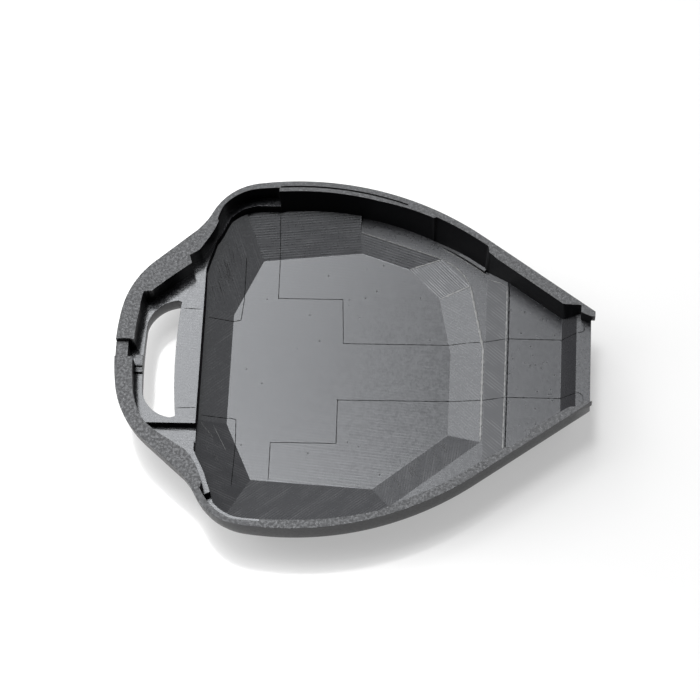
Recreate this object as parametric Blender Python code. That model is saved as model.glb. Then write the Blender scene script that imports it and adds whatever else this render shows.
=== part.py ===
"""Rear half of a car key case: one black moulding, seen open, with its parting face up.

Metres, +Z up. The rest face of the underside is at z = 0, the ring end points to -X and
the blade end to +X. The origin lies midway along the length, on the middle line.
"""

import math

import bmesh
import bpy
from mathutils import Vector

# Outer sizes
LENGTH = 0.0570
WIDTH = 0.0451
HEIGHT = 0.00782
BLADE_END_WIDTH = 0.0114

# Radii and headings of the outline, from the ring end to the blade end
RING_END_RADIUS = 0.0300
CORNER_RADIUS = 0.0108
WAIST_RADIUS = 0.00835
SHOULDER_RADIUS = 0.0071
SIDE_RADIUS = 0.0380
RING_END_HEADING = math.radians(80.0)
DIAGONAL_HEADING = math.radians(41.5)
WAIST_HEADING = math.radians(64.5)
SHOULDER_HEADING = math.radians(8.0)
TAPER_HEADING = math.radians(-35.7)
DIAGONAL_LENGTH = 0.00622
ARC_STEPS = 9
SIDE_STEPS = 26
TAPER_STEPS = 6

# How far the underside draws in from the outline, at the sides and at the two ends
SIDE_ROUNDING = 0.0076
END_ROUNDING = 0.0120
ROUNDING_SHARES = (
    (1.00, 0.000, 0.000),
    (0.82, 0.000, 0.006),
    (0.70, 0.008, 0.016),
    (0.59, 0.025, 0.032),
    (0.47, 0.056, 0.064),
    (0.35, 0.105, 0.120),
    (0.24, 0.190, 0.215),
    (0.14, 0.340, 0.370),
    (0.05, 0.610, 0.640),
    (0.00, 1.000, 1.000),
)

# Heights of the inner surfaces above the rest face
FLOOR_HEIGHT = 0.0020
SHELF_HEIGHT = 0.0027
NARROW_FLOOR_HEIGHT = 0.00365
GROOVE_FLOOR_HEIGHT = 0.0040
WEB_HEIGHT = 0.00514
END_LEDGE_HEIGHT = 0.0057
NOTCH_DEPTH = 0.0005
RIM_GROOVE_DEPTH = 0.0003

# Width of the rim at the ring end, and the insets of the inner edges as shares of it.
# Each pair is a place along the half outline, from 0 at the ring end to 1 at the blade
# end, and the inset there. Two places close together are a step in the edge.
RIM_WIDTH = 0.00215
FAR_RING_RIM_SHARES = (
    (0.000, 1.03),
    (0.075, 0.99),
    (0.112, 0.76),
    (0.121, 1.14),
    (0.145, 1.30),
    (0.212, 1.42),
    (0.218, 0.97),
    (0.236, 1.06),
    (0.260, 0.81),
    (0.287, 0.57),
    (0.289, 0.44),
    (0.318, 0.26),
    (0.360, 0.29),
    (0.422, 0.37),
)
NEAR_RING_RIM_SHARES = (
    (0.000, 1.03),
    (0.060, 0.98),
    (0.112, 0.85),
    (0.150, 0.75),
    (0.180, 0.81),
    (0.232, 1.11),
    (0.247, 1.08),
    (0.287, 0.62),
    (0.294, 0.43),
    (0.330, 0.36),
    (0.380, 0.265),
    (0.422, 0.35),
)
FAR_WALL_SHARES = ((0.231, 1.69), (0.246, 1.33), (0.270, 0.79), (0.318, 0.62), (0.362, 0.68), (0.430, 0.98))
NEAR_WALL_SHARES = ((0.231, 1.70), (0.248, 1.45), (0.280, 0.99), (0.317, 0.75), (0.384, 0.86), (0.430, 0.95))
FAR_SIDE_RIM_SHARES = (
    (0.421, 0.62),
    (0.591, 0.62),
    (0.645, 0.53),
    (0.690, 0.49),
    (0.692, 0.37),
    (0.794, 0.32),
    (0.802, 0.59),
    (0.820, 0.66),
    (0.950, 0.68),
    (0.990, 0.60),
)
NEAR_SIDE_RIM_SHARES = (
    (0.421, 0.50),
    (0.490, 0.50),
    (0.582, 0.42),
    (0.616, 0.37),
    (0.640, 0.53),
    (0.790, 0.51),
    (0.838, 0.46),
    (0.846, 0.32),
    (0.884, 0.30),
    (0.892, 0.52),
    (0.950, 0.46),
    (0.990, 0.46),
)
FOOT_SHARES = ((0.421, 0.98), (0.571, 0.76), (0.990, 0.76))
SIDE_END_SHARE = 0.985
SAMPLES_ALONG_EDGE = 110

# Facets that bound the pocket floor: heading of the facet, how far its foot lies from the
# middle as a share of the width, and how much it rises for each step outwards
FACET_SHARES = (
    (0.0, 0.2495, 0.180),
    (12.0, 0.2552, 0.180),
    (44.7, 0.3040, 0.190),
    (70.6, 0.3280, 0.290),
    (95.9, 0.3461, 0.265),
    (156.0, 0.3734, 0.360),
    (180.0, 0.3381, 0.324),
    (204.6, 0.3738, 0.360),
    (266.5, 0.3330, 0.300),
    (309.0, 0.2971, 0.214),
)

# Places along the length, as shares of it measured from the middle
SHELF_START_SHARE = -0.0035
POCKET_END_SHARE = 0.268
SLOPE_START_SHARE = 0.270
SLOPE_END_SHARE = 0.314
END_SLOPE_START_SHARE = 0.430
END_LEDGE_START_SHARE = 0.4615
NEAR_SHELF_START_SHARE = 0.079

# Ring slot: its depth along the case, and how far its two long edges bow and the inner
# one leans. It is a share of the case's width across, and lies a little to the near side
SLOT_DEPTH = 0.00379
SLOT_WIDTH_SHARE = 0.3406
SLOT_SHIFT = -0.00012
SLOT_INSET = 0.00313
SLOT_CORNER_RADIUS = 0.0036
SLOT_OUTER_BOW = 0.00045
SLOT_INNER_BOW = 0.00043
SLOT_INNER_LEAN = 0.00009
SLOT_LAND = 0.0005
SLOT_FLARE = 0.0032
FLARE_STEPS = 6
SLOT_STEPS = 16
SLOT_OUTER_TURN = math.radians(86.0)
SLOT_INNER_TURN = math.radians(77.0)

# Groove across the web, beside the slot
GROOVE_WIDTH = 0.0022
GROOVE_CENTRE_SHARE = -0.424
GROOVE_CLEARANCE = 0.00005

# Notch and gap in the rim at the ring end, and the small stop beside them
NOTCH_WIDTH = 0.0022
GAP_INSET = 0.0015
STOP_HEIGHT = 0.0058
STOP_STEP_HEIGHT = 0.0055
STOP_WIDTH = 0.0014
STOP_STEP_WIDTH = 0.0007

# Bank that rises along the foot of the far wall towards the slope
BANK_FIRST_SHARE = 0.700
BANK_LAST_SHARE = 0.797
BANK_TOP_HEIGHT = 0.0035
BANK_INSET_SHARE = 0.90

# Gap in the narrow ledge on the near side, and the groove in the far rim
LEDGE_GAP_FIRST_SHARE = 0.293
LEDGE_GAP_LAST_SHARE = 0.3155
LEDGE_GAP_INNER_WIDTH_SHARE = 1.20
LEDGE_GAP_OUTER_WIDTH_SHARE = 0.40
RIM_GROOVE_WIDTH = 0.0002
RIM_GROOVE_INSET = 0.00062
RIM_GROOVE_FIRST_SHARE = 0.424
RIM_GROOVE_LAST_SHARE = 0.640

# Room for the blade's root by the ledge, whose walls are thin at the top, and the mouth
# where the blade comes out
BLADE_ROOM_TOP_WALL = 0.0002
BLADE_ROOM_FOOT_WALL = 0.0012
TONGUE_BOTTOM_HEIGHT = 0.0066
MOUTH_FAR_INNER_SHARE = 1.02
MOUTH_FAR_OUTER_SHARE = 0.89
MOUTH_NEAR_SHARE = 1.03
END_FACE_INSET = 0.0005

# How far a cutter runs past the surface that it cuts, how near two corners of a cutter are
# merged, and how near two corners of the finished cover are
OVERRUN = 0.0006
WELD_DISTANCE = 0.000001
JOIN_DISTANCE = 0.000004


def clear_scene():
    """Removes every object of the scene that the script starts in."""
    for found in list(bpy.data.objects):
        bpy.data.objects.remove(found, do_unlink=True)


def new_collection(name, hidden):
    """Adds a collection under the scene's own one; a hidden one is left out of renders."""
    made = bpy.data.collections.new(name)
    made.hide_render = hidden
    bpy.context.scene.collection.children.link(made)
    return made


def turn_along(points, radius, first, last, steps):
    """Carries the outline on by an arc from one heading to another, to either side."""
    x, y = points[-1]
    side = 1.0 if last < first else -1.0
    for step in range(1, steps + 1):
        heading = first + (last - first) * step / steps
        points.append(
            (
                x + side * radius * (math.sin(first) - math.sin(heading)),
                y + side * radius * (math.cos(heading) - math.cos(first)),
            )
        )


def half_outline():
    """Outline of the half at +Y, from the ring end on the middle line to the blade end.

    It is laid out from its radii and headings, and then drawn to the length and width.
    """
    points = [(0.0, 0.0)]
    turn_along(points, RING_END_RADIUS, math.radians(90.0), RING_END_HEADING, ARC_STEPS)
    turn_along(points, CORNER_RADIUS, RING_END_HEADING, DIAGONAL_HEADING, ARC_STEPS)
    x, y = points[-1]
    run, rise = math.cos(DIAGONAL_HEADING), math.sin(DIAGONAL_HEADING)
    points.append((x + DIAGONAL_LENGTH * run, y + DIAGONAL_LENGTH * rise))
    turn_along(points, WAIST_RADIUS, DIAGONAL_HEADING, WAIST_HEADING, ARC_STEPS)
    turn_along(points, SHOULDER_RADIUS, WAIST_HEADING, SHOULDER_HEADING, ARC_STEPS)
    turn_along(points, SIDE_RADIUS, SHOULDER_HEADING, TAPER_HEADING, SIDE_STEPS)
    y_scale = WIDTH / 2 / max(y for _, y in points)
    start_x, start_y = points[-1]
    drop = BLADE_END_WIDTH / 2 / y_scale - start_y
    for step in range(1, TAPER_STEPS + 1):
        down = drop * step / TAPER_STEPS
        points.append((start_x + down / math.tan(TAPER_HEADING), start_y + down))
    x_scale = LENGTH / points[-1][0]
    return [(x * x_scale - LENGTH / 2, y * y_scale) for x, y in points]


class HalfEdge:
    """The half outline, read by a place from 0 at the ring end to 1 at the blade end."""

    def __init__(self):
        self.points = [Vector(point) for point in half_outline()]
        self.lengths = [0.0]
        for first, second in zip(self.points, self.points[1:]):
            self.lengths.append(self.lengths[-1] + (second - first).length)

    def inset_point(self, share, inset, near):
        """Point at a place along the edge, moved inwards, on the near side or the far one."""
        wanted = min(max(share, 0.0), 1.0) * self.lengths[-1]
        index = 0
        while self.lengths[index + 1] < wanted:
            index += 1
        span = self.lengths[index + 1] - self.lengths[index]
        along = (wanted - self.lengths[index]) / span
        first, second = self.points[index], self.points[index + 1]
        heading = self.heading_at(index, along)
        spot = first.lerp(second, along) + inset * Vector((heading.y, -heading.x))
        reach = max(spot.y, 0.0)
        return (spot.x, -reach if near else reach)

    def reach_at(self, x):
        """Distance from the middle line to the outline at a place along the case."""
        for first, second in zip(self.points[::-1], self.points[-2::-1]):
            if second.x <= x:
                return first.lerp(second, (first.x - x) / (first.x - second.x)).y
        return 0.0

    def heading_at(self, index, along):
        """Direction of travel, blended between the directions at a segment's two ends."""
        ends = []
        for corner in (index, index + 1):
            before = self.points[max(corner - 1, 0)]
            after = self.points[min(corner + 1, len(self.points) - 1)]
            ends.append((after - before).normalized())
        if index == 0:
            ends[0] = Vector((0.0, 1.0))
        return ends[0].lerp(ends[1], along).normalized()


EDGE = HalfEdge()


def read_table(table, share):
    """Value of a table of pairs at a place, on straight lines between its rows."""
    for (first, low), (second, high) in zip(table, table[1:]):
        if share <= second:
            along = max(share - first, 0.0) / (second - first)
            return low + (high - low) * along
    return table[-1][1]


def places(first, last, table):
    """Places from first to last at even steps, with the table's own places between them."""
    count = max(int(math.ceil((last - first) * SAMPLES_ALONG_EDGE)), 1)
    even = [first + (last - first) * step / count for step in range(count + 1)]
    own = [share for share, _ in table if first < share < last]
    spacing = (last - first) / count
    kept = [share for share in even if all(abs(share - other) > spacing / 3 for other in own)]
    return sorted(kept + own)


def inset_line(table, near, clearance):
    """Inner edge on one side: the outline moved inwards by the table's shares."""
    return [
        EDGE.inset_point(share, read_table(table, share) * RIM_WIDTH + clearance, near)
        for share in places(table[0][0], table[-1][0], table)
    ]


def closed_line(far_table, near_table, clearance=0.0):
    """Closed outline from a far and a near inner edge, run against the clock."""
    far = inset_line(far_table, False, clearance)
    near = inset_line(near_table, True, clearance)
    joined = near + far[::-1]
    return [point for point, following in zip(joined, joined[1:] + joined[:1]) if point != following]


def add_object(name, mesh, collection):
    """Links a new object with the mesh into the collection."""
    made = bpy.data.objects.new(name, mesh)
    collection.objects.link(made)
    if collection.hide_render:
        made.hide_render = True
        made.display_type = "WIRE"
    return made


def loft(name, rings, collection):
    """Closed solid through rings of equally many points, with a face over each end."""
    mesh = bpy.data.meshes.new(name)
    shape = bmesh.new()
    rows = [[shape.verts.new(point) for point in ring] for ring in rings]
    for low, high in zip(rows, rows[1:]):
        for first, second, third, fourth in zip(low, low[1:] + low[:1], high[1:] + high[:1], high):
            shape.faces.new((first, second, third, fourth))
    shape.faces.new(rows[0][::-1])
    shape.faces.new(rows[-1])
    bmesh.ops.recalc_face_normals(shape, faces=shape.faces)
    bmesh.ops.triangulate(shape, faces=shape.faces)
    shape.to_mesh(mesh)
    shape.free()
    return add_object(name, mesh, collection)


def plate(name, outline, low, high, collection, upright=False):
    """Flat outline with a thickness. An upright one has x and z, and stands across y."""
    curve = bpy.data.curves.new(name, "CURVE")
    curve.dimensions = "2D"
    curve.fill_mode = "BOTH"
    curve.extrude = (high - low) / 2
    spline = curve.splines.new("POLY")
    spline.points.add(len(outline) - 1)
    for spot, (across, along) in zip(spline.points, outline):
        spot.co = (across, along, 0.0, 1.0)
    spline.use_cyclic_u = True
    guide = bpy.data.objects.new(name, curve)
    bpy.context.scene.collection.objects.link(guide)
    graph = bpy.context.evaluated_depsgraph_get()
    mesh = bpy.data.meshes.new_from_object(guide.evaluated_get(graph))
    bpy.data.objects.remove(guide, do_unlink=True)
    bpy.data.curves.remove(curve)
    shape = bmesh.new()
    shape.from_mesh(mesh)
    bmesh.ops.remove_doubles(shape, verts=shape.verts, dist=WELD_DISTANCE)
    middle = (high + low) / 2
    for corner in shape.verts:
        x, y, z = corner.co
        corner.co = (x, -middle - z, y) if upright else (x, y, z + middle)
    bmesh.ops.recalc_face_normals(shape, faces=shape.faces)
    shape.to_mesh(mesh)
    shape.free()
    return add_object(name, mesh, collection)


def boolean(target, other, operation):
    """Adds an exact Boolean to the target, named for the object that it uses."""
    modifier = target.modifiers.new(other.name, "BOOLEAN")
    modifier.operation = operation
    modifier.object = other
    modifier.solver = "EXACT"


def outer_block(collection):
    """Outside of the case: the outline drawn in level by level down to the rest face."""
    far = [EDGE.inset_point(length / EDGE.lengths[-1], 0.0, False) for length in EDGE.lengths]
    near = [(x, -y) for x, y in far[1:]]
    outline = near[::-1] + far
    rings = []
    for height_share, side_share, end_share in ROUNDING_SHARES:
        x_scale = 1.0 - end_share * END_ROUNDING / (LENGTH / 2)
        y_scale = 1.0 - side_share * SIDE_ROUNDING / (WIDTH / 2)
        rings.append([(x * x_scale, y * y_scale, HEIGHT * height_share) for x, y in outline])
    return loft("rear_cover", rings[::-1], collection)


def side_space(name, first_share, collection):
    """Space between the two long walls, whose faces lean in from the rim to their foot."""
    rings = []
    blade_reach = EDGE.reach_at(END_LEDGE_START_SHARE * LENGTH + OVERRUN)
    for height, wall in (
        (FLOOR_HEIGHT - OVERRUN, BLADE_ROOM_FOOT_WALL),
        (HEIGHT + OVERRUN, BLADE_ROOM_TOP_WALL),
    ):
        lean = (height - SHELF_HEIGHT) / (HEIGHT - SHELF_HEIGHT)
        lines = []
        for near, table in ((True, NEAR_SIDE_RIM_SHARES), (False, FAR_SIDE_RIM_SHARES)):
            line = []
            for share in places(first_share, SIDE_END_SHARE, FAR_SIDE_RIM_SHARES + NEAR_SIDE_RIM_SHARES):
                foot = read_table(FOOT_SHARES, share)
                rim = read_table(table, share)
                inset = (foot + (rim - foot) * lean) * RIM_WIDTH
                x, y = EDGE.inset_point(share, inset, near)
                reach = max(abs(y), blade_reach - wall)
                line.append((x, -reach if near else reach, height))
            lines.append(line)
        rings.append(lines[0] + lines[1][::-1])
    return loft(name, rings, collection)


def facet_block(collection):
    """Solid above the pocket floor and its sloping facets, cut from a plain block."""
    left, right = -LENGTH / 2, POCKET_END_SHARE * LENGTH
    half = WIDTH / 2
    corners = [(left, -half), (right, -half), (right, half), (left, half)]
    block = plate("facet_block", corners, FLOOR_HEIGHT, HEIGHT + OVERRUN, collection)
    shape = bmesh.new()
    shape.from_mesh(block.data)
    for heading_degrees, reach_share, rise in FACET_SHARES:
        heading = math.radians(heading_degrees)
        foot = Vector((math.cos(heading), math.sin(heading), 0.0)) * reach_share * WIDTH
        foot.z = FLOOR_HEIGHT
        outwards = Vector((math.cos(heading) * rise, math.sin(heading) * rise, -1.0))
        geometry = list(shape.verts) + list(shape.edges) + list(shape.faces)
        cut = bmesh.ops.bisect_plane(
            shape, geom=geometry, dist=WELD_DISTANCE, plane_co=foot, plane_no=outwards, clear_outer=True
        )
        rim = [item for item in cut["geom_cut"] if isinstance(item, bmesh.types.BMEdge)]
        bmesh.ops.contextual_create(shape, geom=rim)
    bmesh.ops.recalc_face_normals(shape, faces=shape.faces)
    shape.to_mesh(block.data)
    shape.free()
    return block


def lengthwise_floor(collection):
    """Space over the shelf, the slope, the narrow floor and the end ledge, in one profile."""
    end = END_LEDGE_START_SHARE * LENGTH
    top = HEIGHT + 2 * OVERRUN
    profile = [
        (SHELF_START_SHARE * LENGTH, SHELF_HEIGHT),
        (SLOPE_START_SHARE * LENGTH, SHELF_HEIGHT),
        (SLOPE_END_SHARE * LENGTH, NARROW_FLOOR_HEIGHT),
        (END_SLOPE_START_SHARE * LENGTH, NARROW_FLOOR_HEIGHT),
        (end, END_LEDGE_HEIGHT),
        (end + OVERRUN, END_LEDGE_HEIGHT),
        (end + OVERRUN, top),
        (SHELF_START_SHARE * LENGTH, top),
    ]
    floor = plate("lengthwise_floor", profile, -WIDTH / 2, WIDTH / 2, collection, upright=True)
    start, stop = -LENGTH / 2, NEAR_SHELF_START_SHARE * LENGTH
    near = [(start, -WIDTH), (stop, -WIDTH), (stop, 0.0), (start, 0.0)]
    boolean(floor, plate("near_shelf_limit", near, FLOOR_HEIGHT, top + OVERRUN, collection), "DIFFERENCE")
    boolean(floor, far_bank(collection), "DIFFERENCE")
    return floor


def far_bank(collection):
    """Bank along the foot of the far wall: its top climbs steadily from the shelf."""
    rings = []
    for share in places(BANK_FIRST_SHARE, BANK_LAST_SHARE, ()):
        along = (share - BANK_FIRST_SHARE) / (BANK_LAST_SHARE - BANK_FIRST_SHARE)
        top = SHELF_HEIGHT + (BANK_TOP_HEIGHT - SHELF_HEIGHT) * along
        inner = EDGE.inset_point(share, BANK_INSET_SHARE * RIM_WIDTH, False)
        outer = EDGE.inset_point(share, 0.0, False)
        low = SHELF_HEIGHT - OVERRUN
        rings.append([(*inner, low), (*inner, top), (*outer, top), (*outer, low)])
    return loft("far_bank", rings, collection)


def inner_cutters(collection):
    """Pocket by the ring end, and all that lies between the two long walls."""
    facets = facet_block(collection)
    walls = closed_line(FAR_WALL_SHARES, NEAR_WALL_SHARES)
    ring_part = plate("pocket_ring_part", walls, FLOOR_HEIGHT - OVERRUN, HEIGHT + OVERRUN, collection)
    boolean(ring_part, facets, "INTERSECT")
    floors = lengthwise_floor(collection)
    boolean(floors, facets, "UNION")
    side_part = side_space("pocket_side_part", FOOT_SHARES[0][0], collection)
    boolean(side_part, floors, "INTERSECT")
    return [ring_part, side_part]


def mouth_cutter(collection):
    """Opening over the end ledge, out through the blade end, whose face stands back a little.

    Only a small tongue of the rim is left beyond the face on either side.
    """
    inner = END_LEDGE_START_SHARE * LENGTH
    face = LENGTH / 2 - END_FACE_INSET
    past = LENGTH / 2 + OVERRUN
    half = BLADE_END_WIDTH / 2
    near, far = -MOUTH_NEAR_SHARE * half, MOUTH_FAR_OUTER_SHARE * half
    far_inner = MOUTH_FAR_INNER_SHARE * half
    outline = [(inner, near), (past, near), (past, far), (face, far), (inner, far_inner)]
    beyond = [(face, -WIDTH / 2), (past, -WIDTH / 2), (past, WIDTH / 2), (face, WIDTH / 2)]
    mouth = plate("blade_mouth", outline, END_LEDGE_HEIGHT, HEIGHT + OVERRUN, collection)
    return [mouth, plate("end_face", beyond, -OVERRUN, TONGUE_BOTTOM_HEIGHT, collection)]


def slot_ring(height, flare):
    """Outline of the ring slot at a height: two bowed edges, with round outer corners."""
    half = WIDTH * SLOT_WIDTH_SHARE / 2 + flare
    radius = SLOT_CORNER_RADIUS + flare
    left = -LENGTH / 2 + SLOT_INSET - flare
    right = -LENGTH / 2 + SLOT_INSET + SLOT_DEPTH + flare
    ring = []
    for step in range(-SLOT_STEPS, SLOT_STEPS + 1):
        share = math.sin(SLOT_INNER_TURN * step / SLOT_STEPS)
        edge = right + SLOT_INNER_BOW * share * share - SLOT_INNER_LEAN * share
        ring.append((edge, SLOT_SHIFT + half * share, height))
    for step in range(SLOT_STEPS, -SLOT_STEPS - 1, -1):
        share = math.sin(SLOT_OUTER_TURN * step / SLOT_STEPS)
        past = max(abs(half * share) - (half - radius), 0.0)
        corner = radius - math.sqrt(radius * radius - past * past)
        ring.append((left + SLOT_OUTER_BOW * share * share + corner, SLOT_SHIFT + half * share, height))
    return ring


def slot_cutter(collection):
    """Hole for the key ring, right through the case, flared round below its narrow land."""
    land = WEB_HEIGHT - SLOT_LAND
    drop = land + OVERRUN
    rings = [slot_ring(HEIGHT + OVERRUN, 0.0), slot_ring(land, 0.0)]
    for step in range(1, FLARE_STEPS + 1):
        turn = math.pi / 2 * step / FLARE_STEPS
        rings.append(slot_ring(land - drop * math.sin(turn), SLOT_FLARE * (1.0 - math.cos(turn))))
    return loft("ring_slot", rings[::-1], collection)


def groove_cutter(collection):
    """Groove across the web beside the slot, out to the rim's inner edge."""
    ring_space = closed_line(FAR_RING_RIM_SHARES, NEAR_RING_RIM_SHARES, GROOVE_CLEARANCE)
    groove = plate("web_groove", ring_space, GROOVE_FLOOR_HEIGHT, HEIGHT, collection)
    centre = GROOVE_CENTRE_SHARE * WIDTH / 2
    low, high = centre - GROOVE_WIDTH / 2, centre + GROOVE_WIDTH / 2
    left = -LENGTH / 2
    right = EDGE.inset_point(FAR_WALL_SHARES[0][0], FAR_WALL_SHARES[0][1] * RIM_WIDTH, False)[0] + OVERRUN
    strip = [(left, low), (right, low), (right, high), (left, high)]
    limit = plate("web_groove_limit", strip, GROOVE_FLOOR_HEIGHT - OVERRUN, HEIGHT + 2 * OVERRUN, collection)
    boolean(groove, limit, "INTERSECT")
    return groove


def ring_end_cutters(collection):
    """Low notch across the rim at the ring end, with a narrow gap down to the web's level."""
    half = NOTCH_WIDTH / 2
    left = -LENGTH / 2
    right = left + RIM_WIDTH + OVERRUN
    notch_outline = [(left - OVERRUN, -half), (right, -half), (right, half), (left - OVERRUN, half)]
    notch = plate("rim_notch", notch_outline, HEIGHT - NOTCH_DEPTH, HEIGHT + OVERRUN, collection)
    start = left + GAP_INSET
    stop = left + FAR_RING_RIM_SHARES[0][1] * RIM_WIDTH + GROOVE_CLEARANCE
    gap_outline = [(start, -half), (stop, -half), (stop, half), (start, half)]
    gap = plate("rim_gap", gap_outline, WEB_HEIGHT, HEIGHT + 2 * OVERRUN, collection)
    return [notch, gap]


def web_space(collection):
    """Space over the web and the ledges, round the two small steps at the ring end.

    The steps run on into the ring slot, which trims them.
    """
    ring_space = closed_line(FAR_RING_RIM_SHARES, NEAR_RING_RIM_SHARES)
    space = plate("web_level", ring_space, WEB_HEIGHT, HEIGHT + OVERRUN, collection)
    left = -LENGTH / 2
    right = left + SLOT_INSET + OVERRUN
    for name, top, width in (
        ("rim_stop", STOP_HEIGHT, STOP_WIDTH),
        ("rim_stop_step", STOP_STEP_HEIGHT, STOP_WIDTH + STOP_STEP_WIDTH),
    ):
        outline = [(left, -width), (right, -width), (right, 0.0), (left, 0.0)]
        boolean(space, plate(name, outline, WEB_HEIGHT - OVERRUN, top, collection), "DIFFERENCE")
    return space


def strip_outline(first, last, outer_inset, inner_inset, near):
    """Closed strip along the outline between two places and two insets."""
    spots = places(first, last, ())
    outer = [EDGE.inset_point(share, outer_inset, near) for share in spots]
    inner = [EDGE.inset_point(share, inner_inset, near) for share in spots]
    return outer + inner[::-1]


def rim_cutters(collection):
    """Gap in the narrow ledge on the near side, and the fine groove in the far rim."""
    ledge_gap = strip_outline(
        LEDGE_GAP_FIRST_SHARE,
        LEDGE_GAP_LAST_SHARE,
        LEDGE_GAP_OUTER_WIDTH_SHARE * RIM_WIDTH,
        LEDGE_GAP_INNER_WIDTH_SHARE * RIM_WIDTH,
        True,
    )
    groove = strip_outline(
        RIM_GROOVE_FIRST_SHARE,
        RIM_GROOVE_LAST_SHARE,
        RIM_GROOVE_INSET,
        RIM_GROOVE_INSET + RIM_GROOVE_WIDTH,
        False,
    )
    return [
        plate("ledge_gap", ledge_gap, GROOVE_FLOOR_HEIGHT, HEIGHT + OVERRUN, collection),
        plate("rim_groove", groove, HEIGHT - RIM_GROOVE_DEPTH, HEIGHT + OVERRUN, collection),
    ]


def black_plastic():
    """Black, slightly glossy moulded plastic."""
    material = bpy.data.materials.new("black_plastic")
    material.use_nodes = True
    shader = material.node_tree.nodes["Principled BSDF"]
    shader.inputs["Base Color"].default_value = (0.014, 0.014, 0.015, 1.0)
    shader.inputs["Roughness"].default_value = 0.32
    shader.inputs["Metallic"].default_value = 0.0
    return material


def build():
    """Builds the rear cover from its outer block and its cutters."""
    clear_scene()
    parts = new_collection("car_key_shell", hidden=False)
    cutters = new_collection("cutters", hidden=True)
    cover = outer_block(parts)
    used = [web_space(cutters), slot_cutter(cutters), groove_cutter(cutters)]
    used += inner_cutters(cutters)
    used += mouth_cutter(cutters)
    used += ring_end_cutters(cutters)
    used += rim_cutters(cutters)
    for cutter in used:
        boolean(cover, cutter, "DIFFERENCE")
    weld = cover.modifiers.new("joined_corners", "WELD")
    weld.merge_threshold = JOIN_DISTANCE
    cover.data.materials.append(black_plastic())


if __name__ == "__main__":
    build()
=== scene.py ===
"""Looks for the rear half of a car key case: one black moulding, open side up, on a white table.

The solid model is the frame. The cover shown is a merged copy of its one node, with a finish
for each kind of surface that the mould's cutters left. The fine marks of moulding, and pale
lines of painted highlight along its edges and ridges, lie on it as pieces of their own.
Everything is in the frame of the solid model, in metres unless a docstring says otherwise.
"""

from __future__ import annotations

import logging
import math
from collections.abc import Sequence
from dataclasses import dataclass, field
from enum import Enum

import bmesh
import bpy
import numpy as np
from mathutils import Matrix, Vector

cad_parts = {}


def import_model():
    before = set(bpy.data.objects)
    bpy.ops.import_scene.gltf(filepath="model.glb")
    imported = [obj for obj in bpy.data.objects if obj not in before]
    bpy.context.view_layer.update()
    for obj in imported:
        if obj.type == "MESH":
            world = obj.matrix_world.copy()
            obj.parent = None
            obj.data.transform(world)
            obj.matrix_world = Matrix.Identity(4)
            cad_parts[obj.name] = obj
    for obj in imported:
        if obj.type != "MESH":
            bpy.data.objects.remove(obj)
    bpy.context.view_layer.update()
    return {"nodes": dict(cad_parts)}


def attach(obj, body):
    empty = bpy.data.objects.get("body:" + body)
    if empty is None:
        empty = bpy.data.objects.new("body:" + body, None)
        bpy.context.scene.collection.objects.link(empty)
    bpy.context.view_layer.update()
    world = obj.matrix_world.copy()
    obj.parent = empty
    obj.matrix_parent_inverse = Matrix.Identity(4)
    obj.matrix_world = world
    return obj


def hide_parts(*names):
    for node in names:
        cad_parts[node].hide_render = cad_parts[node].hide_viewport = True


LOG = logging.getLogger("key_case")
MM = 0.001
MICRON = MM * MM
NODE = "rear_cover"
TOOLING_MAP = "tooling"
LEAST_AREA = 1e-20
LEAST_LENGTH = 1e-12

WHITE = (1.0, 1.0, 1.0, 1.0)
WORN_TINT = (0.16, 0.16, 0.165, 1.0)
SPECK_TINT = (0.002, 0.002, 0.002, 1.0)
REFLECTION_TINT = (0.94, 0.965, 1.0, 1.0)

Span = tuple[float, float]
Socket = bpy.types.NodeSocket


class Surface(Enum):
    """Kinds of surface on the cover, each with a finish of its own."""

    POCKET_FLOOR = 0
    SHELF = 1
    NARROW_FLOOR = 2
    WEB = 3
    RIM = 4
    FACET = 5
    CORNER_FACET = 6
    SLOPE = 7
    END_SLOPE = 8
    WALL = 9
    OUTSIDE = 10
    LEDGE = 11
    BANK = 12


@dataclass(frozen=True)
class Finish:
    """One finish of the black plastic.

    Grain is the fine pitted texture of a sparked mould, and marks are the parallel lines of
    a milled one, which run across the first coordinate of the piece's own map. Sizes, pitches
    and the radius that edges are softened to are in millimetres, and heights in thousandths
    of one. The mottle is how far the roughness drifts either way, and the streak how much the
    crests of the marks lighten. The shares say how much of the surface has specks or flecks,
    and the gloss is the strength of the reflection, where 0.5 is plain plastic.
    """

    name: str
    colour: tuple[float, float, float] = (0.010, 0.010, 0.012)
    roughness: float = 0.30
    mottle: float = 0.03
    grain_size: float = 0.16
    grain_height: float = 1.2
    mark_pitch: float = 0.20
    mark_height: float = 0.0
    streak: float = 0.0
    speck_share: float = 0.0
    fleck_share: float = 0.0
    gloss: float = 0.5
    edge_radius: float = 0.06


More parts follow.
